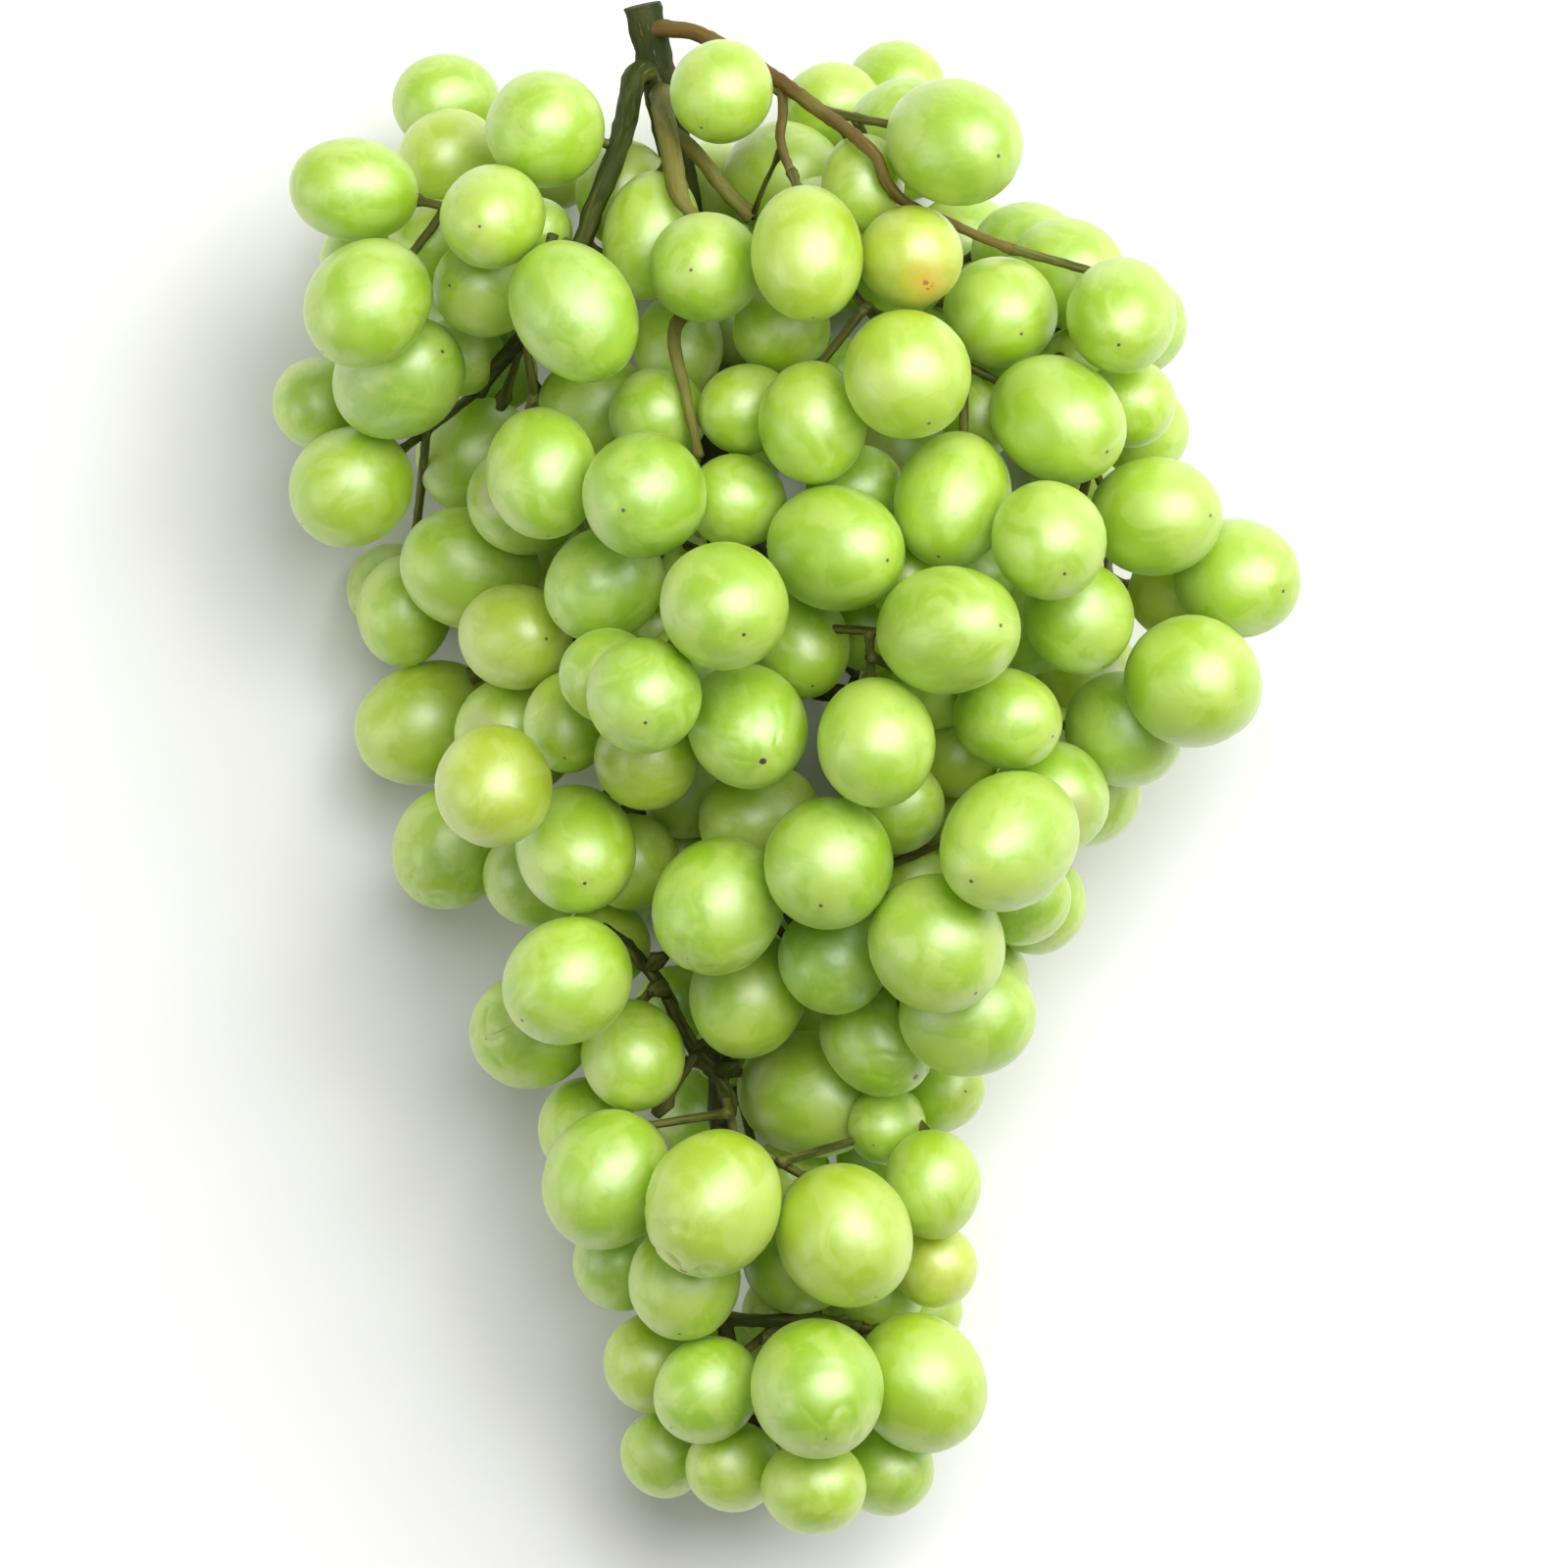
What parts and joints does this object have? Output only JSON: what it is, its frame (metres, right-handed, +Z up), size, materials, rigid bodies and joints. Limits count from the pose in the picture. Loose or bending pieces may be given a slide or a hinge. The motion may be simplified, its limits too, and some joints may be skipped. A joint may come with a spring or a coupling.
{
  "type": "bunch of grapes",
  "caption": "Ripe bunch of green table grapes lying on its back: crowded oval berries on thin stems, with a bare woody stalk at the wide end.",
  "frame": {"origin": "middle of the bunch's bounding box, on the surface that it lies on", "axes": "+Y towards the cut stalk, +Z up through the side that the viewer sees, +X to the right with the stalk end up"},
  "size_m": [0.158, 0.236, 0.1049],
  "materials": {
    "stem_bark": "dull woody bark",
    "skin_front": "smooth waxy fruit skin with a pale bloom",
    "skin_left_lower": "smooth waxy fruit skin with a pale bloom",
    "skin_left_shoulder": "smooth waxy fruit skin with a pale bloom",
    "skin_left_side": "smooth waxy fruit skin with a pale bloom",
    "skin_left_tail": "smooth waxy fruit skin with a pale bloom",
    "skin_left_wing": "smooth waxy fruit skin with a pale bloom",
    "skin_low_front": "smooth waxy fruit skin with a pale bloom",
    "skin_middle_front": "smooth waxy fruit skin with a pale bloom",
    "skin_right_edge": "smooth waxy fruit skin with a pale bloom",
    "skin_right_low_shoulder": "smooth waxy fruit skin with a pale bloom",
    "skin_right_lower": "smooth waxy fruit skin with a pale bloom",
    "skin_right_shoulder": "smooth waxy fruit skin with a pale bloom",
    "skin_right_side": "smooth waxy fruit skin with a pale bloom",
    "skin_right_tail": "smooth waxy fruit skin with a pale bloom",
    "skin_right_wing": "smooth waxy fruit skin with a pale bloom",
    "skin_tail_end": "smooth waxy fruit skin with a pale bloom",
    "skin_tail_left": "smooth waxy fruit skin with a pale bloom",
    "skin_tail_right": "smooth waxy fruit skin with a pale bloom"
  },
  "bodies": {
    "root": {"main_stem": "stem_bark", "spray_front": "skin_front", "spray_left_lower": "skin_left_lower", "spray_left_shoulder": "skin_left_shoulder", "spray_left_side": "skin_left_side", "spray_left_tail": "skin_left_tail", "spray_left_wing": "skin_left_wing", "spray_low_front": "skin_low_front", "spray_middle_front": "skin_middle_front", "spray_right_edge": "skin_right_edge", "spray_right_low_shoulder": "skin_right_low_shoulder", "spray_right_lower": "skin_right_lower", "spray_right_shoulder": "skin_right_shoulder", "spray_right_side": "skin_right_side", "spray_right_tail": "skin_right_tail", "spray_right_wing": "skin_right_wing", "spray_tail_end": "skin_tail_end", "spray_tail_left": "skin_tail_left", "spray_tail_right": "skin_tail_right"}
  },
  "joints": []
}
